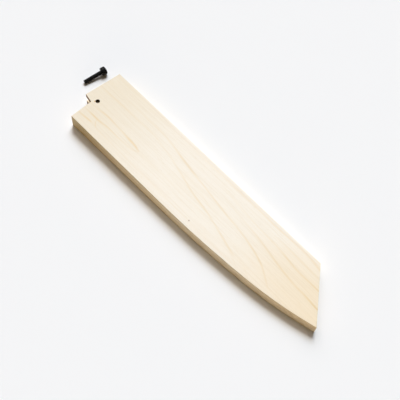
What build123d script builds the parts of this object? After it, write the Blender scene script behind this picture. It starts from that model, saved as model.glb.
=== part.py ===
from build123d import *
import os
from math import atan, atan2, degrees

# A wooden guard for a kitchen knife's blade with a clipped tip, and the pin that keeps the knife in it.
# Two boards are glued to three strips, which leave a slot between them for the blade.
# The guard lies on its back board, with the pin taken out and laid down in front of the mouth.
# X runs from the mouth to the tip, Y from the edge side to the spine and Z up, all in millimetres.
# The origin is the centre of the pin's hole, on the face that the guard lies on.

# The outline. Places on it are given along the spine from the mouth's corner, and across from the spine.
guard_length = 256.5
guard_width = 56.1
clip_length = 30.7
clip_depth = 38.3
edge_straight_share = 0.4315
edge_straight_width_share = 0.973
edge_bend_share = 0.7656
edge_bend_width_share = 0.8865

# The stepped mouth: the spine's part of it reaches further out than the edge's part, and the wall
# of the step between them leans towards the spine on its way out
step_across = 35.4
step_lean = 1.5
mouth_lean = 2.0
step_depth = 8.3
edge_mouth_lean = 0.9

# The layers, from the back face up
board_thickness = 3.8
slot_at_mouth = 5.0
slot_at_tip = 2.0
arris = 0.3

# The strips between the boards
strip_width = 4.8
tip_strip_width = 8.0

# The pin and its hole
shank_diameter = 3.4
shank_length = 17.0
shank_end_round = 0.5
head_diameter = 7.0
head_length = 4.4
head_round = 0.45
pin_clearance = 0.1
hole_along = 9.7
hole_across = 31.2

# Where the pin lies: the end of its shank, and how far its head is turned away from the spine's direction
pin_end_along = -19.2
pin_end_across = 22.7
pin_turn = 7.3

# How far cutting shapes run past what they cut
overrun = 10.0


def at(along, across):
    """A place on the plan, from its distances along the spine and across from it."""
    return (along - hole_along, hole_across - across)


def slot_top(along):
    """The height of the slot's upper side, which comes down towards the tip."""
    return board_thickness + slot_at_mouth + (slot_at_tip - slot_at_mouth) * along / guard_length


def guard_top(along):
    """The height of the front face."""
    return slot_top(along) + board_thickness


def blank_profile():
    """The outline with its mouth end left long, for the mouth to be cut across it later."""
    start = -(mouth_lean + strip_width + overrun)
    straight_end = edge_straight_share * guard_length
    straight_width = edge_straight_width_share * guard_width
    start_width = guard_width + (straight_width - guard_width) * start / straight_end
    bend = at(edge_bend_share * guard_length, edge_bend_width_share * guard_width)

    spine = Line(at(start, 0), at(guard_length - clip_length, 0))
    clip = Line(spine @ 1, at(guard_length, clip_depth))
    edge_straight = Line(at(start, start_width), at(straight_end, straight_width))
    edge_curve = TangentArc(edge_straight @ 1, bend, tangent=edge_straight % 1)
    edge_nose = TangentArc(edge_curve @ 1, clip @ 1, tangent=edge_curve % 1)
    mouth_end = Line(edge_straight @ 0, spine @ 0)
    return make_face([spine, clip, edge_nose, edge_curve, edge_straight, mouth_end])


def tip_region():
    """The part of the plan that the tip's strip fills, from its inner side outwards."""
    corner_x, corner_y = at(guard_length - clip_length, 0)
    clip_turn = degrees(atan2(clip_depth, clip_length))
    reach = 2 * (guard_length + guard_width)
    beyond = Rectangle(reach, reach, align=(Align.CENTER, Align.MIN))
    return Pos(corner_x, corner_y) * Rot(0, 0, -clip_turn) * Pos(0, -tip_strip_width) * beyond


def spine_side():
    """The half of the plan next to the spine."""
    middle_x, middle_y = at(guard_length / 2, guard_width / 2)
    reach = 2 * (guard_length + guard_width)
    return Pos(middle_x, middle_y) * Rectangle(reach, reach, align=(Align.CENTER, Align.MIN))


def between(profile, low, high):
    """The profile's solid between two heights, each a function of the place along the guard."""
    start = -(mouth_lean + strip_width + 2 * overrun)
    end = guard_length + overrun
    corners = [(start, low), (end, low), (end, high), (start, high)]
    outline = [(at(along, 0)[0], height(along)) for along, height in corners]
    wedge_face = make_face(Polyline(*outline, close=True))
    wedge = extrude(Plane.XZ * wedge_face, amount=2 * guard_width, both=True)
    column = extrude(profile, amount=2 * guard_top(start))
    return column & wedge


def mouth_cutter():
    """What the two saw cuts across the mouth and the step between them take away."""
    before = -(mouth_lean + strip_width + 2 * overrun)
    step_outer_across = step_across - step_lean
    spine_lean = mouth_lean / step_outer_across
    edge_lean = edge_mouth_lean / (guard_width - step_across)
    step_inner = step_depth - mouth_lean
    corners = [
        at(before, -overrun),
        at(spine_lean * overrun, -overrun),
        at(-mouth_lean, step_outer_across),
        at(step_inner, step_across),
        at(step_inner + edge_lean * (guard_width - step_across + overrun), guard_width + overrun),
        at(before, guard_width + overrun),
    ]
    face = make_face(Polyline(*corners, close=True))
    return extrude(face, amount=2 * guard_top(before), both=True)


def pin_hole():
    """The hole that goes through both boards."""
    return Cylinder(shank_diameter / 2 + pin_clearance, 4 * guard_top(0))


def back_board():
    """The board that the guard lies on, with its outer arris taken off."""
    board = extrude(blank_profile(), amount=board_thickness) - mouth_cutter() - pin_hole()
    outer_face = board.faces().sort_by(Axis.Z)[0]
    return chamfer(outer_face.outer_wire().edges(), arris)


def front_board():
    """The upper board, which follows the strips down towards the tip."""
    board = between(blank_profile(), slot_top, guard_top) - mouth_cutter() - pin_hole()
    outer_face = board.faces().sort_by(Axis.Z)[-1]
    return chamfer(outer_face.outer_wire().edges(), arris)


def strips():
    """The three strips that close the slot along the spine, the edge side and the slanted end."""
    blank = blank_profile()
    tip = tip_region()
    rim = blank - tip - offset(blank, amount=-strip_width, kind=Kind.INTERSECTION)
    profiles = {
        "spine_strip": rim & spine_side(),
        "edge_strip": rim - spine_side(),
        "tip_strip": blank & tip,
    }

    def board_top(along):
        return board_thickness

    return {name: between(plan, board_top, slot_top) - mouth_cutter() for name, plan in profiles.items()}


def retaining_pin():
    """The pin, lying on the end of its shank and the inner rim of its head."""
    shank = Cylinder(shank_diameter / 2, shank_length, align=(Align.CENTER, Align.CENTER, Align.MIN))
    head = Cylinder(head_diameter / 2, head_length, align=(Align.CENTER, Align.CENTER, Align.MIN))
    pin = shank + Pos(0, 0, shank_length) * head
    rims = pin.edges().filter_by(GeomType.CIRCLE).sort_by(Axis.Z)
    head_rims = [rim for rim in rims if rim.radius > (shank_diameter + head_diameter) / 4]
    pin = fillet(head_rims, head_round)
    shank_rim = pin.edges().filter_by(GeomType.CIRCLE).sort_by(Axis.Z)[0]
    pin = fillet(shank_rim, shank_end_round)

    tilt = degrees(atan((head_diameter - shank_diameter) / 2 / shank_length))
    end_x, end_y = at(pin_end_along, pin_end_across)
    laid = Rot(0, 0, -pin_turn) * Rot(tilt - 90, 0, 0) * pin
    return Pos(end_x, end_y, -laid.bounding_box().min.Z) * laid


pieces = {
    "back_board": back_board(),
    "front_board": front_board(),
    **strips(),
    "retaining_pin": retaining_pin(),
}

os.makedirs("parts", exist_ok=True)
for name, piece in pieces.items():
    export_step(piece, f"parts/{name}.step")

print(f"thickness at the hole {guard_top(hole_along):.3f}, at the mouth {guard_top(0):.3f}")
print(f"thickness at the tip {guard_top(guard_length):.3f}")
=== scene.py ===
"""A wooden guard for a kitchen knife's blade and its loose black pin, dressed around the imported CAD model.

Lengths are in millimetres unless a name says otherwise, and are turned into metres where a mesh is made.
X runs from the mouth to the tip, Y from the edge side to the spine, and Z up. Places on the guard's plan are
given along the spine from the mouth's corner, and across from the spine.
"""

import logging
import math
from dataclasses import dataclass
from enum import Enum

import bmesh
import bpy
from mathutils import Matrix, Vector


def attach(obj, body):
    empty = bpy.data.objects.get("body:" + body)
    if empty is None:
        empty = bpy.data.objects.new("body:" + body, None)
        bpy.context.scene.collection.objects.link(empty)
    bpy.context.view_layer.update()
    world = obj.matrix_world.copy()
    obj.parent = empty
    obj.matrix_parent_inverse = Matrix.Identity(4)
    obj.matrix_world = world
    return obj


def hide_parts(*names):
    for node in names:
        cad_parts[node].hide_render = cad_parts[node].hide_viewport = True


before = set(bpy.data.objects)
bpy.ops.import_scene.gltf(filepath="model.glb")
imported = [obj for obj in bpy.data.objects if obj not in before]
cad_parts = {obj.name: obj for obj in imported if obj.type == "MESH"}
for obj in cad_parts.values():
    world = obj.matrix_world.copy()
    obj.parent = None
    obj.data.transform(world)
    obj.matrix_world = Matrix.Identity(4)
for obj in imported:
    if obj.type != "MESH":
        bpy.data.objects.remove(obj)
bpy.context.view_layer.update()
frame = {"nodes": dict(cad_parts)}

log = logging.getLogger("blade_guard")

MM = 0.001

Point = tuple[float, float]

# Settings for Map Range and Mix nodes
SMOOTH = {"interpolation_type": "SMOOTHSTEP"}
BLEND = {"data_type": "RGBA"}
DARKEN = {"data_type": "RGBA", "blend_type": "MULTIPLY"}

# Times this, a point loses its height and keeps its place on the plan
PLAN_ONLY = (1.0, 1.0, 0.0)

# An outline's corner moves in by no more than the inset divided by this, however sharp it is
LEAST_MITRE = 0.3


def linear(hex_colour: str) -> tuple[float, float, float, float]:
    """Turns an sRGB hex colour into linear values.

    Args:
        hex_colour: Six hex digits, with or without a leading hash.

    Returns:
        Red, green, blue and an alpha of one.
    """
    digits = hex_colour.lstrip("#")
    parts = [int(digits[i:i + 2], 16) / 255 for i in (0, 2, 4)]
    red, green, blue = (p / 12.92 if p <= 0.04045 else ((p + 0.055) / 1.055) ** 2.4 for p in parts)
    return (red, green, blue, 1.0)


def add_node(
    tree: bpy.types.NodeTree,
    kind: str,
    settings: dict[str, object] | None = None,
    inputs: dict[str | int, object] | None = None,
) -> bpy.types.Node:
    """Adds a node, sets its properties, and sets or links its inputs.

    Args:
        tree: The tree that gets the node.
        kind: The node's type, without the ShaderNode that all of them start with.
        settings: Property names with their values.
        inputs: Input names or numbers, each with a value or with the output that feeds it.

    Returns:
        The new node.
    """
    node = tree.nodes.new("ShaderNode" + kind)
    for name, value in (settings or {}).items():
        setattr(node, name, value)
    for name, value in (inputs or {}).items():
        if isinstance(value, bpy.types.NodeSocket):
            tree.links.new(value, node.inputs[name])
        else:
            node.inputs[name].default_value = value
    return node


def new_material(name: str) -> bpy.types.Material:
    """Makes an empty node material.

    Args:
        name: The material's name.

    Returns:
        The material, with an empty tree.
    """
    material = bpy.data.materials.new(name)
    material.use_nodes = True
    material.node_tree.nodes.clear()
    return material


def mesh_object(name: str, build: bmesh.types.BMesh, sharp_angle: float) -> bpy.types.Object:
    """Turns a bmesh into a smooth shaded object in the scene.

    Args:
        name: The object's name.
        build: The mesh, in millimetres. It is freed.
        sharp_angle: Edges that turn by more degrees than this stay sharp.

    Returns:
        The object, at the origin.
    """
    bmesh.ops.recalc_face_normals(build, faces=build.faces)
    build.transform(Matrix.Scale(MM, 4))
    mesh = bpy.data.meshes.new(name)
    build.to_mesh(mesh)
    build.free()
    mesh.shade_smooth()
    mesh.set_sharp_from_angle(angle=math.radians(sharp_angle))
    piece = bpy.data.objects.new(name, mesh)
    bpy.context.scene.collection.objects.link(piece)
    return piece


@dataclass(frozen=True)
class Change:
    """How one value follows another: from at_start to at_end, while the other goes from start to end."""

    start: float
    end: float
    at_start: float
    at_end: float

    def inputs(self) -> dict[str, float]:
        """The inputs that set this change in a Map Range node."""
        return {"From Min": self.start, "From Max": self.end, "To Min": self.at_start, "To Max": self.at_end}


@dataclass(frozen=True)
class StretchedNoise:
    """A noise drawn out along the fibres, by the length and width of its clouds in millimetres."""

    length: float
    width: float
    detail: float
    roughness: float = 0.5

    def stretch(self, start: tuple[float, float, float] = (0.0, 0.0, 0.0)) -> dict[str, object]:
        """The inputs of a Mapping node that draws out a point's place and moves it by a number of clouds."""
        return {"Location": start, "Scale": (1 / self.length, 1 / self.width, 1 / self.width)}

    def inputs(self) -> dict[str, float]:
        """The inputs that set the noise itself, at the drawn out place."""
        return {"Scale": 1.0, "Detail": self.detail, "Roughness": self.roughness}


class Layer(Enum):
    """Which piece of wood a finish is for. Each is cut from its own place in the plank."""

    FRONT = "front"
    BACK = "back"
    STRIP = "strip"


@dataclass(frozen=True)
class Cut:
    """How a piece was cut from its plank.

    The signs say whether it was turned end for end and edge for edge, the shift moves its figure across the
    guard by so many millimetres, and its fibres start at a place of their own.
    """

    along_sign: int
    across_sign: int
    shift: float
    fibre_start: float


@dataclass(frozen=True)
class GuardPlan:
    """What the wood has to know of the guard: where the origin lies on its plan, and the front face there."""

    hole_place: Point
    hole_radius: float
    front_height: float
    taper: float

    def depth_plane(self, layer: Layer) -> tuple[tuple[float, float, float], float]:
        """Says how deep below the face of its own board a point is.

        Args:
            layer: The piece of wood.

        Returns:
            The direction in which the depth grows, and the depth at the origin.
        """
        return {
            Layer.FRONT: ((-self.taper, 0.0, -1.0), self.front_height),
            Layer.BACK: ((0.0, 0.0, 1.0), 0.0),
            Layer.STRIP: ((0.0, 0.0, -1.0), self.front_height / 2),
        }[layer]


@dataclass(frozen=True)
class WoodPoint:
    """The sockets that say where a point of the wood is and which way it faces.

    The point is in millimetres. Its place along and across the board is counted from the board's middle in
    halves of the board, its depth is counted from the face in millimetres, and ring is the growth ring that
    it lies in. Facing is a node with the three parts of the direction in which the surface looks.
    """

    point: bpy.types.NodeSocket
    along: bpy.types.NodeSocket
    across: bpy.types.NodeSocket
    depth: bpy.types.NodeSocket
    ring: bpy.types.NodeSocket
    facing: bpy.types.Node


@dataclass(frozen=True)
class GrainLine:
    """One growth ring that stands out on the face: places along its course, and how much it shows at some."""

    course: tuple[Point, ...]
    shows: tuple[Point, ...]
    half_width: float = 1.35


@dataclass(frozen=True)
class Mark:
    """A small dark spot on the face."""

    place: Point
    radius: float
    strength: float
    colour: str


@dataclass(frozen=True)
class PlankFigure:
    """The growth rings of the plank: where a ring lies on the board's face, and how rings pass through it."""

    # The board's middle, along and across
    middle: Point = (128.4, 28.5)
    # The ring that a place on the face is in, by powers of its place along and across, both from the middle
    # and in halves of the board. The rows are the powers across. They make half an arch, open to the mouth.
    ring_shares: tuple[tuple[float, ...], ...] = (
        (8.5, 19.7, 5.1, -4.25, -2.0),
        (-19.5, -6.8, 6.8, 5.7, 5.2),
        (9.95, -5.2, 8.2, -0.5),
        (-6.7, 9.4, -2.7),
    )
    # How many rings go by for each millimetre of depth, and how far a line has moved across there
    rings_per_depth: float = 1.3
    depth_lean: float = 1.2
    lines: tuple[GrainLine, ...] = (
        GrainLine(
            ((0, 11.5), (45, 12), (75, 13), (95, 16), (128, 20.7), (150, 24), (170, 26.5), (190, 30.8),
             (205, 37.8), (213, 43)),
            ((0, 0.1), (70, 0.2), (95, 0.42), (128, 0.32), (170, 0.36), (190, 0.5), (207, 0.36), (215, 0)),
        ),
        GrainLine(
            ((0, 19.5), (45, 18.5), (75, 19.7), (100, 24.8), (120, 30.3), (140, 33.8), (160, 38.8),
             (178, 43)),
            ((0, 0.1), (30, 0.28), (75, 0.14), (107, 0.22), (145, 0.38), (170, 0.32), (180, 0)),
        ),
        GrainLine(
            ((120, 11), (150, 16), (175, 19), (195, 22.5), (215, 25.8), (225, 26.9), (235, 27), (243, 27.6),
             (250, 28)),
            ((140, 0), (175, 0.22), (195, 0.32), (215, 0.42), (228, 0.48), (238, 0.8), (246, 1.0)),
        ),
        GrainLine(
            ((100, 5), (135, 9), (150, 11), (170, 13), (200, 15), (220, 17.3), (232, 17), (243, 17)),
            ((120, 0), (160, 0.14), (200, 0.28), (210, 0.55), (222, 0.45), (235, 0.65), (242, 0.7)),
        ),
        GrainLine(
            ((120, 5.5), (150, 8), (170, 8.8), (210, 9.6), (235, 10)),
            ((140, 0), (175, 0.06), (210, 0.24), (230, 0.26)),
        ),
        GrainLine(
            ((0, 2.5), (100, 3), (170, 3), (223, 3.8), (240, 9)),
            ((0, 0.12), (100, 0.12), (165, 0.28), (225, 0.42), (236, 0.5)),
            1.5,
        ),
        GrainLine(
            ((0, 36.5), (12, 36), (28, 34.5), (35, 35), (50, 35.5), (60, 35.7), (67, 37)),
            ((0, 0.2), (12, 0.2), (28, 0.55), (38, 0.3), (50, 0.42), (60, 0.65), (65, 0.5), (68, 0)),
        ),
        GrainLine(
            ((0, 42.3), (15, 42), (25, 42), (35, 41), (48, 41), (60, 40), (67, 38)),
            ((6, 0), (14, 0.3), (25, 0.7), (35, 0.55), (45, 0.35), (58, 0.12), (65, 0.2), (68, 0)),
            1.3,
        ),
        GrainLine(
            ((0, 48.8), (10, 48.5), (17, 47.8), (24, 47.2), (30, 47)),
            ((0, 0.4), (10, 0.42), (17, 0.6), (22, 0.2), (26, 0)),
        ),
        GrainLine(
            ((20, 40), (22.5, 42.2), (24.2, 45), (26.5, 47.2), (30, 49)),
            ((21, 0), (23, 0.3), (25, 0.4), (27, 0.3), (28.5, 0)),
            1.3,
        ),
    )
    marks: tuple[Mark, ...] = (
        # A fleck in the wood, and where the pin has rubbed beside its hole
        Mark((136.8, 48.7), 0.95, 0.8, "#8A5A2E"),
        Mark((8.4, 33.0), 1.15, 0.9, "#C49A45"),
    )

    def cut(self, layer: Layer) -> Cut:
        """How the piece for a layer was cut from the plank."""
        return {
            Layer.FRONT: Cut(1, -1, 0.0, 0.0),
            Layer.BACK: Cut(-1, 1, -4.0, 31.0),
            Layer.STRIP: Cut(1, -1, 7.0, 57.0),
        }[layer]


@dataclass(frozen=True)
class PaleWood:
    """Bare sanded wood, close grained and nearly white, like hornbeam or magnolia.

    Planed and sanded without oil, so it scatters light softly and has only a faint sheen. Its rings are thin
    straw coloured lines, and its fibres are just visible as fine streaks along the board.
    """

    figure: PlankFigure = PlankFigure()

    early_wood: str = "#F9F1E3"
    late_wood: str = "#E8CD9A"
    warm_wood: str = "#F4E0BE"
    dull_wood: str = "#EADDC4"
    fibre_shade: str = "#DCC7A2"
    rim_fibre_shade: str = "#B8A078"
    end_grain: str = "#E2CBA2"
    hole_shade: str = "#46340F"
    slot_shade: str = "#5E4426"

    # The board is lightest in its middle and along the spine, warmer towards the tip and duller at the mouth.
    # The places are in halves of the board from its middle.
    patches: StretchedNoise = StretchedNoise(60.0, 22.0, 2.0)
    patch_warmth: float = 0.4
    tip_warmth: Change = Change(0.2, 1.0, -0.2, 0.55)
    spine_warmth: Change = Change(-1.0, -0.3, -0.3, 0.0)
    mouth_dullness: Change = Change(-1.0, -0.2, 0.7, 0.0)

    # A slow wobble keeps the rings from running like drawn curves
    wobble: StretchedNoise = StretchedNoise(55.0, 14.0, 2.0, 0.45)
    wobble_reach: float = 0.8
    ring_spacing: float = 2.55
    # How dark a ring is at a place on its way from early to late wood
    ring_profile: tuple[Point, ...] = ((0.45, 0.0), (0.78, 0.35), (0.92, 1.0))
    # A fine ring fades in and out over the board, and shows least in the plain wood between the arches
    fade: StretchedNoise = StretchedNoise(70.0, 9.0, 1.5)
    fine_rings: Change = Change(0.4, 0.64, 0.02, 0.2)
    plain_rings: Change = Change(2.0, 9.0, 0.25, 1.0)
    # Every line comes and goes along its length
    uneven: StretchedNoise = StretchedNoise(26.0, 7.0, 3.0)
    line_strength: Change = Change(0.34, 0.62, 0.65, 1.15)

    fibre_noise: StretchedNoise = StretchedNoise(38.0, 0.9, 4.0)
    streaks: Change = Change(0.42, 0.72, 0.0, 0.22)
    # Real pores are about 0.06 wide. They are drawn this coarse, the finest that shows in a close view.
    pore_noise: StretchedNoise = StretchedNoise(3.2, 0.25, 1.0)
    pores: Change = Change(0.60, 0.74, 0.0, 1.0)
    pore_shade: float = 0.22
    pore_depth_share: float = 0.7
    bump_height: float = 0.05
    bump_share: float = 0.35

    # Where a saw cut crosses the fibres their open ends take up light and look darker
    end_share: Change = Change(0.35, 0.95, 0.0, 0.55)
    # The rims are planed across the rings. Their tint is painted shade, darkest near the mouth, over a little
    # yellow of their own.
    # Each tint stands with its place, as a share of the guard's length.
    rim_shade_tints: tuple[tuple[float, str], ...] = (
        (0.03, "#D2C4A0"), (0.08, "#D8CAA6"), (0.2, "#EFE2C5"), (0.4, "#FEF4DA"), (0.95, "#FEF9EB"),
    )
    side_share: Change = Change(0.2, 0.8, 1.0, 0.0)
    # The painted shade on the rims is weaker on the open ends of the fibres
    end_shade_share: Change = Change(0.35, 0.95, 1.0, 0.5)
    # The fibres stand out more on the rims
    rim_streaks: Change = Change(0.4, 0.66, 0.0, 0.3)
    # The wall of the step looks to the edge side and is painted darkest, as shade in the step's corner. It
    # ends at this share of the length.
    step_shade_tint: str = "#A07C3E"
    step_end_share: float = 0.0265
    step_facing: Change = Change(-0.8, -0.4, 1.0, 0.0)

    # The hole's wall is painted nearly black brown, as the shade inside the hole. On the faces inside the
    # slot a wider ring of painted shade darkens the wood round the hole. These are their widths outside the
    # hole.
    hole_shade_width: float = 0.04
    slot_shade_width: float = 5.5

    roughness: float = 0.62
    late_wood_polish: float = 0.08
    sheen_level: float = 0.24

    def material(self, layer: Layer, plan: GuardPlan) -> bpy.types.Material:
        """Makes the wood for one layer of the guard.

        Args:
            layer: The piece of wood that it is for.
            plan: Where the origin lies on the guard.

        Returns:
            The material.
        """
        material = new_material(f"sanded_pale_wood_{layer.value}")
        tree = material.node_tree
        place = self.locate(tree, layer, plan)
        lines = self.ring_lines(tree, place, layer)
        fibres, pores = self.fibres(tree, place.point, layer)
        colour = self.face_colour(tree, place, lines, fibres, pores)
        colour = self.rim_colour(tree, place, colour, fibres, plan)
        if layer is not Layer.STRIP:
            colour = self.spotted(tree, place, colour, layer, plan)
        grain_height = add_node(tree, "Math", {"operation": "MULTIPLY_ADD"}, {
            0: pores, 1: -self.pore_depth_share, 2: fibres,
        })
        bump = add_node(tree, "Bump", {}, {
            "Strength": self.bump_share, "Distance": self.bump_height * MM, "Height": grain_height.outputs[0],
        })
        rough = add_node(tree, "MapRange", {}, {
            "Value": lines, "To Min": self.roughness, "To Max": self.roughness - self.late_wood_polish,
        })
        shader = add_node(tree, "BsdfPrincipled", {}, {
            "Base Color": colour,
            "Roughness": rough.outputs[0],
            "Normal": bump.outputs[0],
            "Specular IOR Level": self.sheen_level,
        })
        add_node(tree, "OutputMaterial", {}, {"Surface": shader.outputs[0]})
        return material

    def locate(self, tree: bpy.types.NodeTree, layer: Layer, plan: GuardPlan) -> WoodPoint:
        """Works out where each point of the wood is, and which ring it is in.

        Args:
            tree: The material's tree.
            layer: The piece of wood.
            plan: Where the origin lies on the guard.

        Returns:
            The sockets that say so.
        """
        coordinates = add_node(tree, "TexCoord")
        facing = add_node(tree, "SeparateXYZ", {}, {0: coordinates.outputs["Normal"]})
        in_mm = add_node(tree, "VectorMath", {"operation": "SCALE"}, {
            0: coordinates.outputs["Object"], "Scale": 1 / MM,
        })
        point = in_mm.outputs[0]
        wobble_place = add_node(tree, "Mapping", {}, {"Vector": point, **self.wobble.stretch()})
        wobble = add_node(tree, "TexNoise", {}, {"Vector": wobble_place.outputs[0], **self.wobble.inputs()})
        reach = self.wobble_reach
        offset = add_node(tree, "VectorMath", {"operation": "MULTIPLY_ADD"}, {
            0: wobble.outputs["Color"], 1: (0.0, 2 * reach, 2 * reach), 2: (0.0, -reach, -reach),
        })
        moved = add_node(tree, "VectorMath", {}, {0: point, 1: offset.outputs[0]})
        axes = add_node(tree, "SeparateXYZ", {}, {0: moved.outputs[0]})
        cut = self.figure.cut(layer)
        middle_along, middle_across = self.figure.middle
        hole_along, hole_across = plan.hole_place
        along = add_node(tree, "Math", {"operation": "MULTIPLY_ADD"}, {
            0: axes.outputs[0],
            1: cut.along_sign / middle_along,
            2: cut.along_sign * (hole_along - middle_along) / middle_along,
        }).outputs[0]
        across = add_node(tree, "Math", {"operation": "MULTIPLY_ADD"}, {
            0: axes.outputs[1],
            1: cut.across_sign / middle_across,
            2: (hole_across + cut.shift - middle_across) / middle_across,
        }).outputs[0]
        deeper, depth_at_origin = plan.depth_plane(layer)
        slope = add_node(tree, "VectorMath", {"operation": "DOT_PRODUCT"}, {0: moved.outputs[0], 1: deeper})
        depth = add_node(tree, "Math", {}, {0: slope.outputs["Value"], 1: depth_at_origin}).outputs[0]
        face_ring = self.face_ring(tree, along, across)
        depth_rings = add_node(tree, "Math", {"operation": "MULTIPLY"}, {
            0: depth, 1: self.figure.rings_per_depth,
        })
        ring = add_node(tree, "Math", {"operation": "SUBTRACT"}, {0: face_ring, 1: depth_rings.outputs[0]})
        return WoodPoint(point, along, across, depth, ring.outputs[0], facing)

    def face_ring(
        self, tree: bpy.types.NodeTree, along: bpy.types.NodeSocket, across: bpy.types.NodeSocket
    ) -> bpy.types.NodeSocket:
        """Works out the ring that a place on the face is in.

        Args:
            tree: The material's tree.
            along: The place along the board, in halves from the middle.
            across: The place across the board, in halves from the middle.

        Returns:
            The ring.
        """
        total = None
        for row in reversed(self.figure.ring_shares):
            part = row[-1]
            for share in row[-2::-1]:
                power = add_node(tree, "Math", {"operation": "MULTIPLY_ADD"}, {0: part, 1: along, 2: share})
                part = power.outputs[0]
            if total is None:
                total = part
                continue
            total = add_node(tree, "Math", {"operation": "MULTIPLY_ADD"}, {
                0: total, 1: across, 2: part,
            }).outputs[0]
        return total

    def ring_lines(
        self, tree: bpy.types.NodeTree, place: WoodPoint, layer: Layer
    ) -> bpy.types.NodeSocket:
        """Draws the darker late wood of the rings.

        Args:
            tree: The material's tree.
            place: Where the point is.
            layer: The piece of wood.

        Returns:
            How much late wood shows, from none to one.
        """
        shown = self.fine_lines(tree, place)
        if layer is not Layer.STRIP:
            for line in self.figure.lines:
                traced = self.grain_line(tree, line, place)
                shown = add_node(tree, "Math", {"operation": "MAXIMUM"}, {0: shown, 1: traced}).outputs[0]
        uneven_place = add_node(tree, "Mapping", {}, {"Vector": place.point, **self.uneven.stretch()})
        uneven = add_node(tree, "TexNoise", {}, {"Vector": uneven_place.outputs[0], **self.uneven.inputs()})
        strength = add_node(tree, "MapRange", {}, {
            "Value": uneven.outputs["Fac"], **self.line_strength.inputs(),
        })
        return add_node(tree, "Math", {"operation": "MULTIPLY", "use_clamp": True}, {
            0: shown, 1: strength.outputs[0],
        }).outputs[0]

    def fine_lines(self, tree: bpy.types.NodeTree, place: WoodPoint) -> bpy.types.NodeSocket:
        """Draws the fine rings, each with a strength of its own.

        Args:
            tree: The material's tree.
            place: Where the point is.

        Returns:
            How much of them shows.
        """
        phase = add_node(tree, "Math", {"operation": "MULTIPLY"}, {0: place.ring, 1: 1 / self.ring_spacing})
        within = add_node(tree, "Math", {"operation": "FRACT"}, {0: phase.outputs[0]})
        profile = add_node(tree, "ValToRGB", {}, {0: within.outputs[0]})
        ramp = profile.color_ramp
        ramp.interpolation = "EASE"
        for stop, value in self.ring_profile:
            ramp.elements.new(stop).color = (value, value, value, 1.0)
        ramp.elements[-1].color = (0.0, 0.0, 0.0, 1.0)
        number = add_node(tree, "Math", {"operation": "FLOOR"}, {0: phase.outputs[0]})
        each = add_node(tree, "TexWhiteNoise", {"noise_dimensions": "1D"}, {"W": number.outputs[0]})
        fade_place = add_node(tree, "Mapping", {}, {"Vector": place.point, **self.fade.stretch()})
        fade = add_node(tree, "TexNoise", {}, {"Vector": fade_place.outputs[0], **self.fade.inputs()})
        faded = add_node(tree, "MapRange", {}, {"Value": fade.outputs["Fac"], **self.fine_rings.inputs()})
        weak = add_node(tree, "Math", {"operation": "MULTIPLY"}, {
            0: each.outputs["Value"], 1: faded.outputs[0],
        })
        fine = add_node(tree, "Math", {"operation": "MULTIPLY"}, {
            0: weak.outputs[0], 1: profile.outputs["Color"],
        })
        plain = add_node(tree, "MapRange", SMOOTH, {"Value": place.ring, **self.plain_rings.inputs()})
        return add_node(tree, "Math", {"operation": "MULTIPLY"}, {
            0: fine.outputs[0], 1: plain.outputs[0],
        }).outputs[0]

    def grain_line(
        self, tree: bpy.types.NodeTree, line: GrainLine, place: WoodPoint
    ) -> bpy.types.NodeSocket:
        """Draws one ring that stands out.

        Args:
            tree: The material's tree.
            line: The ring's course and strength.
            place: Where the point is.

        Returns:
            How much of the line shows.
        """
        middle_along, middle_across = self.figure.middle
        spot = add_node(tree, "Math", {"operation": "MULTIPLY_ADD"}, {0: place.along, 1: 0.5, 2: 0.5})
        course = add_node(tree, "FloatCurve", {}, {"Value": spot.outputs[0]})
        shows = add_node(tree, "FloatCurve", {}, {"Value": spot.outputs[0]})
        for node, points, full in ((course, line.course, 2 * middle_across), (shows, line.shows, 1.0)):
            curve = node.mapping.curves[0]
            locations = [(along / (2 * middle_along), height / full) for along, height in points]
            curve.points[0].location = locations[0]
            curve.points[1].location = locations[-1]
            for location in locations[1:-1]:
                curve.points.new(*location)
            node.mapping.extend = "HORIZONTAL"
            node.mapping.update()
        here = add_node(tree, "Math", {"operation": "MULTIPLY_ADD"}, {
            0: place.across, 1: middle_across, 2: middle_across,
        })
        # A ring slants down through the board
        slanted = add_node(tree, "Math", {"operation": "MULTIPLY_ADD"}, {
            0: place.depth, 1: self.figure.depth_lean, 2: here.outputs[0],
        })
        off = add_node(tree, "Math", {"operation": "MULTIPLY_ADD"}, {
            0: course.outputs[0], 1: -2 * middle_across, 2: slanted.outputs[0],
        })
        distance = add_node(tree, "Math", {"operation": "ABSOLUTE"}, {0: off.outputs[0]})
        drawn = add_node(tree, "MapRange", SMOOTH, {
            "Value": distance.outputs[0], "From Max": line.half_width, "To Min": 1.0, "To Max": 0.0,
        })
        return add_node(tree, "Math", {"operation": "MULTIPLY"}, {
            0: drawn.outputs[0], 1: shows.outputs[0],
        }).outputs[0]

    def fibres(
        self, tree: bpy.types.NodeTree, point: bpy.types.NodeSocket, layer: Layer
    ) -> tuple[bpy.types.NodeSocket, bpy.types.NodeSocket]:
        """Draws the fibres as long soft streaks, and the pores as short fine ones.

        Args:
            tree: The material's tree.
            point: The point in millimetres.
            layer: The piece of wood.

        Returns:
            The fibres' tone about one half, and how much pore shows.
        """
        start = self.figure.cut(layer).fibre_start
        fibre_place = add_node(tree, "Mapping", {}, {
            "Vector": point, **self.fibre_noise.stretch((start, start, 0.0)),
        })
        fibres = add_node(tree, "TexNoise", {}, {
            "Vector": fibre_place.outputs[0], **self.fibre_noise.inputs(),
        })
        pore_place = add_node(tree, "Mapping", {}, {
            "Vector": point, **self.pore_noise.stretch((start, 0.0, start)),
        })
        pore_noise = add_node(tree, "TexNoise", {}, {
            "Vector": pore_place.outputs[0], **self.pore_noise.inputs(),
        })
        pores = add_node(tree, "MapRange", SMOOTH, {
            "Value": pore_noise.outputs["Fac"], **self.pores.inputs(),
        })
        return fibres.outputs["Fac"], pores.outputs[0]

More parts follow.
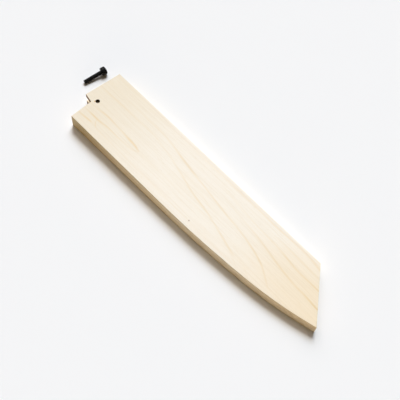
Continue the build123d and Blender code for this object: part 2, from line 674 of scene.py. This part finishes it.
    def face_colour(
        self,
        tree: bpy.types.NodeTree,
        place: WoodPoint,
        lines: bpy.types.NodeSocket,
        fibres: bpy.types.NodeSocket,
        pores: bpy.types.NodeSocket,
    ) -> bpy.types.NodeSocket:
        """Mixes the colours of a planed face.

        Args:
            tree: The material's tree.
            place: Where the point is.
            lines: How much late wood shows.
            fibres: The fibres' tone.
            pores: How much pore shows.

        Returns:
            The colour.
        """
        patch_place = add_node(tree, "Mapping", {}, {"Vector": place.point, **self.patches.stretch()})
        patches = add_node(tree, "TexNoise", {}, {"Vector": patch_place.outputs[0], **self.patches.inputs()})
        towards_tip = add_node(tree, "MapRange", SMOOTH, {"Value": place.along, **self.tip_warmth.inputs()})
        towards_spine = add_node(tree, "MapRange", {}, {"Value": place.across, **self.spine_warmth.inputs()})
        regions = add_node(tree, "Math", {}, {0: towards_tip.outputs[0], 1: towards_spine.outputs[0]})
        warmth = add_node(tree, "Math", {"operation": "MULTIPLY_ADD", "use_clamp": True}, {
            0: patches.outputs["Fac"], 1: self.patch_warmth, 2: regions.outputs[0],
        })
        dullness = add_node(tree, "MapRange", SMOOTH, {"Value": place.along, **self.mouth_dullness.inputs()})
        streaks = add_node(tree, "MapRange", {}, {"Value": fibres, **self.streaks.inputs()})
        pore_share = add_node(tree, "Math", {"operation": "MULTIPLY"}, {0: pores, 1: self.pore_shade})
        colour = linear(self.early_wood)
        for share, shade in (
            (warmth.outputs[0], self.warm_wood),
            (dullness.outputs[0], self.dull_wood),
            (lines, self.late_wood),
            (streaks.outputs[0], self.fibre_shade),
            (pore_share.outputs[0], self.fibre_shade),
        ):
            colour = add_node(tree, "Mix", BLEND, {"Factor": share, 6: colour, 7: linear(shade)}).outputs[2]
        return colour

    def rim_colour(
        self,
        tree: bpy.types.NodeTree,
        place: WoodPoint,
        colour: bpy.types.NodeSocket,
        fibres: bpy.types.NodeSocket,
        plan: GuardPlan,
    ) -> bpy.types.NodeSocket:
        """Darkens the open ends of the fibres, and paints shade on the rims and on the wall of the step.

        Args:
            tree: The material's tree.
            place: Where the point is.
            colour: The colour of the face.
            fibres: The fibres' tone.
            plan: Where the origin lies on the guard.

        Returns:
            The colour.
        """
        facing_x, facing_y, facing_z = place.facing.outputs
        endways = add_node(tree, "Math", {"operation": "ABSOLUTE"}, {0: facing_x})
        ended = add_node(tree, "MapRange", SMOOTH, {"Value": endways.outputs[0], **self.end_share.inputs()})
        colour = add_node(tree, "Mix", BLEND, {
            "Factor": ended.outputs[0], 6: colour, 7: linear(self.end_grain),
        }).outputs[2]

        spot = add_node(tree, "SeparateXYZ", {}, {0: place.point})
        length = 2 * self.figure.middle[0]
        from_mouth = add_node(tree, "Math", {"operation": "MULTIPLY_ADD"}, {
            0: spot.outputs[0], 1: 1 / length, 2: plan.hole_place[0] / length,
        })
        # Painted shade on the upright rims, darkest near the mouth and weaker on the open ends of the fibres
        rim_shade_tint = add_node(tree, "ValToRGB", {}, {0: from_mouth.outputs[0]})
        stops = rim_shade_tint.color_ramp.elements
        for stop, (share, _) in zip((stops[0], stops[1]), (self.rim_shade_tints[0], self.rim_shade_tints[-1])):
            stop.position = share
        for share, _ in self.rim_shade_tints[1:-1]:
            stops.new(share)
        for stop, (_, tint) in zip(stops, self.rim_shade_tints):
            stop.color = linear(tint)
        upright = add_node(tree, "Math", {"operation": "ABSOLUTE"}, {0: facing_z})
        side = add_node(tree, "MapRange", SMOOTH, {"Value": upright.outputs[0], **self.side_share.inputs()})
        end_shade = add_node(tree, "MapRange", SMOOTH, {
            "Value": endways.outputs[0], **self.end_shade_share.inputs(),
        })
        rim_shaded = add_node(tree, "Math", {"operation": "MULTIPLY"}, {
            0: side.outputs[0], 1: end_shade.outputs[0],
        })
        # Painted shade on the wall of the step near the mouth, where it faces the edge side
        before_step = add_node(tree, "Math", {"operation": "LESS_THAN"}, {
            0: from_mouth.outputs[0], 1: self.step_end_share,
        })
        edgewards = add_node(tree, "MapRange", SMOOTH, {"Value": facing_y, **self.step_facing.inputs()})
        step = add_node(tree, "Math", {"operation": "MULTIPLY"}, {
            0: before_step.outputs[0], 1: edgewards.outputs[0],
        })
        streaks = add_node(tree, "MapRange", {}, {"Value": fibres, **self.rim_streaks.inputs()})
        streaked = add_node(tree, "Math", {"operation": "MULTIPLY"}, {
            0: streaks.outputs[0], 1: side.outputs[0],
        })
        for share, tint in (
            (rim_shaded, rim_shade_tint.outputs["Color"]),
            (step, linear(self.step_shade_tint)),
            (streaked, linear(self.rim_fibre_shade)),
        ):
            colour = add_node(tree, "Mix", DARKEN, {
                "Factor": share.outputs[0], 6: colour, 7: tint,
            }).outputs[2]
        return colour

    def spotted(
        self,
        tree: bpy.types.NodeTree,
        place: WoodPoint,
        colour: bpy.types.NodeSocket,
        layer: Layer,
        plan: GuardPlan,
    ) -> bpy.types.NodeSocket:
        """Paints shade on the wall of the hole and on the wood round it inside the slot, and marks the front
        face.

        Args:
            tree: The material's tree.
            place: Where the point is.
            colour: The wood's colour.
            layer: The piece of wood.
            plan: Where the origin lies on the guard.

        Returns:
            The colour.
        """
        inwards = -1.0 if layer is Layer.FRONT else 1.0
        inside = add_node(tree, "Math", {"operation": "MULTIPLY", "use_clamp": True}, {
            0: place.facing.outputs[2], 1: inwards,
        })
        # Each spot's centre, its full part's radius, its fading width beyond that, its share and its colour
        centre = (0.0, 0.0, 0.0)
        # The first two spots are painted shade, in the hole and round it inside the slot
        spots = [
            (centre, plan.hole_radius, self.slot_shade_width, inside.outputs[0], self.slot_shade),
            (centre, plan.hole_radius, self.hole_shade_width, 1.0, self.hole_shade),
        ]
        if layer is Layer.FRONT:
            for mark in self.figure.marks:
                centre = (mark.place[0] - plan.hole_place[0], plan.hole_place[1] - mark.place[1], 0.0)
                spots.append((centre, 0.0, mark.radius, mark.strength, mark.colour))
        on_plan = add_node(tree, "VectorMath", {"operation": "MULTIPLY"}, {0: place.point, 1: PLAN_ONLY})
        for centre, radius, width, share, shade in spots:
            away = add_node(tree, "VectorMath", {"operation": "DISTANCE"}, {0: on_plan.outputs[0], 1: centre})
            near = add_node(tree, "MapRange", SMOOTH, {
                "Value": away.outputs["Value"], **Change(radius, radius + width, 1.0, 0.0).inputs(),
            })
            stained = add_node(tree, "Math", {"operation": "MULTIPLY"}, {0: near.outputs[0], 1: share})
            colour = add_node(tree, "Mix", BLEND, {
                "Factor": stained.outputs[0], 6: colour, 7: linear(shade),
            }).outputs[2]
        return colour


@dataclass(frozen=True)
class BlackPolymer:
    """Black nylon, turned to a satin surface: a deep black with a soft grey highlight."""

    colour: str = "#030303"
    worn_colour: str = "#0B0A09"
    # Handling has worn it unevenly, in clouds about a millimetre wide
    clouds_per_mm: float = 0.9
    cloud_detail: float = 4.0
    wear: Change = Change(0.5, 0.75, 0.0, 0.5)
    roughness: Change = Change(0.3, 0.7, 0.2, 0.28)
    ior: float = 1.53
    gloss_level: float = 0.085
    # The fine unevenness that turning leaves, drawn coarser than the real one so that it shows
    grit_size: float = 0.22
    grit_detail: float = 2.0
    grit_height: float = 0.012
    grit_share: float = 0.3

    def material(self) -> bpy.types.Material:
        """Makes the pin's material.

        Returns:
            The material.
        """
        material = new_material("turned_black_nylon")
        tree = material.node_tree
        place = add_node(tree, "TexCoord")
        in_mm = add_node(tree, "VectorMath", {"operation": "SCALE"}, {
            0: place.outputs["Object"], "Scale": 1 / MM,
        })
        cloud = add_node(tree, "TexNoise", {}, {
            "Vector": in_mm.outputs[0], "Scale": self.clouds_per_mm, "Detail": self.cloud_detail,
        })
        worn = add_node(tree, "MapRange", {}, {"Value": cloud.outputs["Fac"], **self.wear.inputs()})
        colour = add_node(tree, "Mix", BLEND, {
            "Factor": worn.outputs[0], 6: linear(self.colour), 7: linear(self.worn_colour),
        })
        rough = add_node(tree, "MapRange", {}, {"Value": cloud.outputs["Fac"], **self.roughness.inputs()})
        grit = add_node(tree, "TexNoise", {}, {
            "Vector": in_mm.outputs[0], "Scale": 1 / self.grit_size, "Detail": self.grit_detail,
        })
        bump = add_node(tree, "Bump", {}, {
            "Strength": self.grit_share, "Distance": self.grit_height * MM, "Height": grit.outputs["Fac"],
        })
        shader = add_node(tree, "BsdfPrincipled", {}, {
            "Base Color": colour.outputs[2],
            "Roughness": rough.outputs[0],
            "IOR": self.ior,
            "Specular IOR Level": self.gloss_level,
            "Normal": bump.outputs[0],
        })
        add_node(tree, "OutputMaterial", {}, {"Surface": shader.outputs[0]})
        return material


@dataclass
class Guard:
    """The wooden guard: two boards glued to three strips, with a slot between them for the blade."""

    length: float = 256.5
    width: float = 56.1
    clip_length: float = 30.7
    clip_depth: float = 38.3
    edge_straight_share: float = 0.4315
    edge_straight_width_share: float = 0.973
    edge_bend_share: float = 0.7656
    edge_bend_width_share: float = 0.8865
    step_across: float = 35.4
    step_lean: float = 1.5
    mouth_lean: float = 2.0
    step_depth: float = 8.3
    edge_mouth_lean: float = 0.9
    board_thickness: float = 3.8
    slot_at_mouth: float = 5.0
    slot_at_tip: float = 2.0
    hole_along: float = 9.7
    hole_across: float = 31.2
    hole_radius: float = 1.8
    arris_round: float = 0.32
    inner_ease: float = 0.07
    hole_ease: float = 0.06
    # How far in and down the hole's eased rim has come at its middle point, as a share of the ease
    hole_ease_middle_share: float = 0.3
    # How finely the meshes follow the curved edge, the hole and the arris, and from how many degrees an edge
    # between two faces stays sharp
    point_spacing: float = 2.0
    hole_points: int = 40
    round_steps: int = 4
    sharp_angle: float = 35.0
    wood: PaleWood = PaleWood()

    @property
    def taper(self) -> float:
        """How much the front face comes down for each millimetre towards the tip."""
        return (self.slot_at_mouth - self.slot_at_tip) / self.length

    @property
    def front_height(self) -> float:
        """The height of the front face over the hole's centre."""
        return 2 * self.board_thickness + self.slot_at_mouth - self.taper * self.hole_along

    def place(self, along: float, across: float) -> Vector:
        """A place on the plan, in the frame's X and Y."""
        return Vector((along - self.hole_along, self.hole_across - across, 0.0))

    def outline(self) -> list[Vector]:
        """Goes round the guard's plan, starting at the mouth's corner on the spine.

        Returns:
            The corners and the points along the curved edge, counter-clockwise seen from above.
        """
        straight = (self.edge_straight_share * self.length, self.edge_straight_width_share * self.width)
        bend = (self.edge_bend_share * self.length, self.edge_bend_width_share * self.width)
        tip = (self.length, self.clip_depth)
        step_inner = self.step_depth - self.mouth_lean
        edge_slope = (straight[1] - self.width) / straight[0]
        foot_along = step_inner + self.edge_mouth_lean
        corners = [
            (0.0, 0.0),
            (-self.mouth_lean, self.step_across - self.step_lean),
            (step_inner, self.step_across),
            (foot_along, self.width + edge_slope * foot_along),
        ]
        first, heading = tangent_arc(straight, (1.0, edge_slope), bend, self.point_spacing)
        second, _ = tangent_arc(bend, heading, tip, self.point_spacing)
        points = corners + [straight] + first + second + [(self.length - self.clip_length, 0.0)]
        return [self.place(*p) for p in points]

    def hole(self, radius: float) -> list[Vector]:
        """The hole's rim, with the given radius."""
        turns = (2 * math.pi * i / self.hole_points for i in range(self.hole_points))
        return [Vector((radius * math.cos(t), radius * math.sin(t), 0.0)) for t in turns]

    def rim_section(self) -> list[Point]:
        """Goes round the section of a board's rim, from its inner face to its outer face.

        Returns:
            Pairs of how far in from the outline, and how far out from the inner face.
        """
        section = [(self.inner_ease, 0.0), (0.0, self.inner_ease)]
        for step in range(self.round_steps + 1):
            turn = math.pi / 2 * step / self.round_steps
            inset = self.arris_round * (1 - math.cos(turn))
            height = self.board_thickness - self.arris_round * (1 - math.sin(turn))
            section.append((inset, height))
        return section

    def board(self, name: str, node: str, layer: Layer) -> bpy.types.Object:
        """Builds one board, with a softly rounded outer arris and an eased edge at the glue line.

        Args:
            name: The piece's name.
            node: The CAD node that it stands for.
            layer: The front or the back.

        Returns:
            The board.
        """
        front = layer is Layer.FRONT
        base = self.outline()
        build = bmesh.new()

        def height(x: float, out: float) -> float:
            """The height of a place, by how far out it is from the board's inner face."""
            if front:
                return self.front_height - self.taper * x - self.board_thickness + out
            return self.board_thickness - out

        def loop(points: list[Vector], out: float) -> list[bmesh.types.BMVert]:
            """Adds the vertices of a ring at one distance out from the inner face."""
            return [build.verts.new((p.x, p.y, height(p.x, out))) for p in points]

        outer = [loop(inset_outline(base, inset), out) for inset, out in self.rim_section()]
        eased = self.hole_ease_middle_share * self.hole_ease
        hole_section = [
            (self.hole_radius, 0.0),
            (self.hole_radius, self.board_thickness - self.hole_ease),
            (self.hole_radius + eased, self.board_thickness - eased),
            (self.hole_radius + self.hole_ease, self.board_thickness),
        ]
        inner = [loop(self.hole(radius), out) for radius, out in hole_section]
        for loops in (outer, inner):
            for low, high in zip(loops, loops[1:]):
                for i in range(len(low)):
                    j = (i + 1) % len(low)
                    build.faces.new((low[i], low[j], high[j], high[i]))
        for end in (0, -1):
            edges = []
            for ring in (outer[end], inner[end]):
                edges += [build.edges.get((ring[i - 1], ring[i])) for i in range(len(ring))]
            bmesh.ops.triangle_fill(build, edges=edges, use_beauty=True)
        piece = mesh_object(name, build, self.sharp_angle)
        piece.modifiers.new("even_shading", "WEIGHTED_NORMAL").keep_sharp = True
        piece.data.materials.append(self.material(layer))
        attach(piece, "guard")
        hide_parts(node)
        return piece

    def material(self, layer: Layer) -> bpy.types.Material:
        """The wood for one layer."""
        hole_place = (self.hole_along, self.hole_across)
        plan = GuardPlan(hole_place, self.hole_radius, self.front_height, self.taper)
        return self.wood.material(layer, plan)

    def build(self, nodes: dict[str, bpy.types.Object]) -> None:
        """Builds the boards and dresses the strips.

        Args:
            nodes: The CAD nodes by name.
        """
        self.board("front_board_sanded", "front_board", Layer.FRONT)
        log.info("front board: rounded arris, hole and figured face")
        self.board("back_board_sanded", "back_board", Layer.BACK)
        log.info("back board: the same outline, with its own figure")
        strip_wood = self.material(Layer.STRIP)
        for name in ("spine_strip", "edge_strip", "tip_strip"):
            dress(nodes[name], strip_wood)
            log.info("%s: wood with its fibres along the guard", name)


@dataclass
class RetainingPin:
    """The black pin, lying in front of the mouth on the end of its shank and the inner rim of its head."""

    shank_radius: float = 1.7
    shank_length: float = 17.0
    shank_round: float = 0.5
    head_radius: float = 3.5
    head_length: float = 4.4
    head_round: float = 0.45
    # The head's end is slightly domed, and the shank runs into the head in a small fillet
    dome_width: float = 2.6
    dome_height: float = 0.9
    neck_fillet: float = 0.25
    end_place: Point = (-19.2, 22.7)
    turn: float = 7.3
    around: int = 64
    round_steps: int = 5
    sharp_angle: float = 40.0
    polymer: BlackPolymer = BlackPolymer()

    def section(self) -> list[Point]:
        """The pin's section, from the end of the shank to the end of the head.

        Returns:
            Pairs of distance from the axis and place along it.
        """
        quarter = [math.pi / 2 * i / self.round_steps for i in range(self.round_steps + 1)]
        shank_in = self.shank_radius - self.shank_round
        head_in = self.head_radius - self.head_round
        top = self.shank_length + self.head_length
        points = [(0.0, 0.0)]
        points += [
            (shank_in + self.shank_round * math.sin(t), self.shank_round * (1 - math.cos(t))) for t in quarter
        ]
        points += [
            (
                self.shank_radius + self.neck_fillet * (1 - math.cos(t)),
                self.shank_length - self.neck_fillet * (1 - math.sin(t)),
            )
            for t in quarter
        ]
        points += [
            (head_in + self.head_round * math.sin(t), self.shank_length + self.head_round * (1 - math.cos(t)))
            for t in quarter
        ]
        points += [
            (
                self.head_radius - self.dome_width * (1 - math.cos(t)),
                top - self.dome_height * (1 - math.sin(t)),
            )
            for t in quarter
        ]
        return points + [(0.0, top)]

    def build(self, guard: Guard) -> bpy.types.Object:
        """Turns the section round its axis and lays the pin on the floor.

        Args:
            guard: The guard, for the place of its hole on the plan.

        Returns:
            The pin.
        """
        build = bmesh.new()
        loops = []
        for radius, along in self.section():
            if radius == 0:
                loops.append([build.verts.new((0.0, 0.0, along))])
                continue
            turns = (2 * math.pi * i / self.around for i in range(self.around))
            loop = [build.verts.new((radius * math.cos(t), radius * math.sin(t), along)) for t in turns]
            loops.append(loop)
        for low, high in zip(loops, loops[1:]):
            for i in range(self.around):
                j = (i + 1) % self.around
                corners = [low[i % len(low)], low[j % len(low)], high[j % len(high)], high[i % len(high)]]
                build.faces.new(list(dict.fromkeys(corners)))
        tilt = math.atan((self.head_radius - self.shank_radius) / self.shank_length)
        laid = Matrix.Rotation(-math.radians(self.turn), 4, "Z") @ Matrix.Rotation(tilt - math.pi / 2, 4, "X")
        build.transform(laid)
        lowest = min(v.co.z for v in build.verts)
        place = guard.place(*self.end_place)
        build.transform(Matrix.Translation((place.x, place.y, -lowest)))
        piece = mesh_object("retaining_pin_turned", build, self.sharp_angle)
        piece.modifiers.new("even_shading", "WEIGHTED_NORMAL").keep_sharp = True
        piece.data.materials.append(self.polymer.material())
        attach(piece, "pin")
        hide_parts("retaining_pin")
        log.info("pin: turned shank and head with rounded rims")
        return piece


def tangent_arc(start: Point, heading: Point, end: Point, spacing: float) -> tuple[list[Point], Point]:
    """Goes along the arc that leaves a point in a direction and reaches another.

    Args:
        start: Where the arc starts.
        heading: The direction in which it leaves.
        end: Where it ends.
        spacing: About how far apart its points are.

    Returns:
        The points after the start, with the end, and the direction at the end.
    """
    chord = Vector(end) - Vector(start)
    direction = Vector(heading).normalized()
    half_turn = math.atan2(direction.x * chord.y - direction.y * chord.x, direction.dot(chord))
    radius = chord.length / 2 / math.sin(abs(half_turn))
    side = Vector((-direction.y, direction.x)) * math.copysign(1.0, half_turn)
    centre = Vector(start) + side * radius
    steps = max(2, round(2 * abs(half_turn) * radius / spacing))
    points = []
    for step in range(1, steps + 1):
        turn = Matrix.Rotation(2 * half_turn * step / steps, 2)
        points.append(tuple(centre + turn @ (Vector(start) - centre)))
    final = Matrix.Rotation(2 * half_turn, 2) @ direction
    return points, tuple(final)


def inset_outline(points: list[Vector], inset: float) -> list[Vector]:
    """Moves a closed outline inwards by the same distance everywhere.

    Args:
        points: The outline, counter-clockwise seen from above.
        inset: How far in.

    Returns:
        The moved points, one for each.
    """
    moved = []
    for i, point in enumerate(points):
        before = (point - points[i - 1]).normalized()
        after = (points[(i + 1) % len(points)] - point).normalized()
        normals = [Vector((-d.y, d.x, 0.0)) for d in (before, after)]
        middle = (normals[0] + normals[1]).normalized()
        moved.append(point + middle * (inset / max(LEAST_MITRE, middle.dot(normals[0]))))
    return moved


def dress(node: bpy.types.Object, material: bpy.types.Material) -> None:
    """Gives a CAD node one material in place of its own.

    Args:
        node: The node's object.
        material: Its new material.
    """
    node.data.materials.clear()
    node.data.materials.append(material)


@dataclass(frozen=True)
class SoftLamp:
    """A large lamp far off, such as a soft box or a window."""

    name: str
    heading: Point
    elevation: float
    softness: float
    strength: float
    colour: tuple[float, float, float]

    def build(self) -> None:
        """Adds the lamp to the scene, shining from its heading and its elevation in degrees."""
        data = bpy.data.lights.new(self.name, "SUN")
        data.energy = self.strength
        data.color = self.colour
        data.angle = math.radians(self.softness)
        flat = Vector((*self.heading, 0.0)).normalized() * math.cos(math.radians(self.elevation))
        towards = flat + Vector((0.0, 0.0, math.sin(math.radians(self.elevation))))
        lamp = bpy.data.objects.new(self.name, data)
        lamp.rotation_mode = "QUATERNION"
        lamp.rotation_quaternion = towards.to_track_quat("Z", "Y")
        bpy.context.scene.collection.objects.link(lamp)


@dataclass
class Studio:
    """The pale floor, the soft light and the camera. Its lengths are in metres."""

    # Matt painted board: nearly white and without gloss, so that only the soft shade shows on it
    floor_radius: float = 6.0
    floor_sides: int = 96
    floor_colour: str = "#F6F6F6"
    floor_roughness: float = 0.9
    floor_sharp_angle: float = 30.0
    # Daylight from beyond the mouth on the spine side, and a warm card low on the other side
    lamps: tuple[SoftLamp, ...] = (
        SoftLamp("key", (-0.56, 0.83), 52.0, 24.0, 1.74, (0.695, 0.835, 1.0)),
        SoftLamp("edge_of_key", (-0.72, 0.69), 58.0, 8.0, 0.67, (1.0, 0.929, 0.774)),
        SoftLamp("window", (-0.81, 0.59), 50.0, 70.0, 1.56, (1.0, 0.893, 0.799)),
        SoftLamp("low_window", (-0.81, 0.59), 35.0, 30.0, 0.62, (0.867, 0.894, 1.0)),
        SoftLamp("warm_card", (0.75, -0.66), 8.0, 20.0, 0.69, (1.0, 0.747, 0.442)),
    )
    # Fitted to the guard's edges and corners in the photograph
    camera_place: tuple[float, float, float] = (0.28381, -0.19136, 0.47460)
    camera_forward: tuple[float, float, float] = (-0.30954625, 0.36369437, -0.87858268)
    camera_up: tuple[float, float, float] = (-0.66009186, 0.58287542, 0.47385121)
    lens: float = 63.0
    sensor: float = 36.0
    clip_near: float = 0.01
    clip_far: float = 50.0
    # The photograph's centre lies half a pixel right of and below the middle of its 400
    centre_off_shares: Point = (0.5 / 400, 0.5 / 400)

    def floor(self) -> None:
        """Lays a wide round floor under everything."""
        build = bmesh.new()
        radius = self.floor_radius / MM
        bmesh.ops.create_circle(build, cap_ends=True, segments=self.floor_sides, radius=radius)
        floor = mesh_object("floor", build, self.floor_sharp_angle)
        material = new_material("matt_white_paint")
        tree = material.node_tree
        shader = add_node(tree, "BsdfPrincipled", {}, {
            "Base Color": linear(self.floor_colour),
            "Roughness": self.floor_roughness,
            "Specular IOR Level": 0.0,
        })
        add_node(tree, "OutputMaterial", {}, {"Surface": shader.outputs[0]})
        floor.data.materials.append(material)

    def light(self) -> None:
        """Lights the guard with its lamps. The background shows only to the camera and in gloss."""
        for lamp in self.lamps:
            lamp.build()
        world = bpy.data.worlds.new("studio")
        bpy.context.scene.world = world
        world.use_nodes = True
        tree = world.node_tree
        tree.nodes.clear()
        path = add_node(tree, "LightPath")
        shows = path.outputs["Is Camera Ray"]
        for ray in ("Is Glossy Ray", "Is Transmission Ray"):
            either = add_node(tree, "Math", {"operation": "MAXIMUM"}, {0: shows, 1: path.outputs[ray]})
            shows = either.outputs[0]
        seen = add_node(tree, "Background", {}, {"Color": linear(self.floor_colour), "Strength": shows})
        add_node(tree, "OutputWorld", {}, {"Surface": seen.outputs[0]})

    def camera(self) -> None:
        """Places the camera as in the photograph."""
        camera_data = bpy.data.cameras.new("camera")
        camera_data.lens = self.lens
        camera_data.sensor_width = self.sensor
        camera_data.clip_start = self.clip_near
        camera_data.clip_end = self.clip_far
        camera = bpy.data.objects.new("camera", camera_data)
        bpy.context.scene.collection.objects.link(camera)
        forward, up = Vector(self.camera_forward), Vector(self.camera_up)
        right = forward.cross(up)
        right_share, down_share = self.centre_off_shares
        view = self.sensor / self.lens
        forward = (forward - right * (right_share * view) + up * (down_share * view)).normalized()
        up = (up - forward * up.dot(forward)).normalized()
        right = forward.cross(up)
        turn = Matrix((right, up, -forward)).transposed().to_4x4()
        camera.matrix_world = Matrix.Translation(self.camera_place) @ turn
        bpy.context.scene.camera = camera

    def build(self) -> None:
        """Sets up the whole studio."""
        self.floor()
        self.light()
        self.camera()
        bpy.context.scene.view_settings.view_transform = "Standard"
        log.info("studio: floor, lamps and camera")


def main() -> None:
    """Builds the studio, the guard and the pin."""
    logging.basicConfig(level=logging.INFO, format="%(name)s: %(message)s")
    Studio().build()
    guard = Guard()
    guard.build(frame["nodes"])
    RetainingPin().build(guard)


if __name__ == "__main__":
    main()
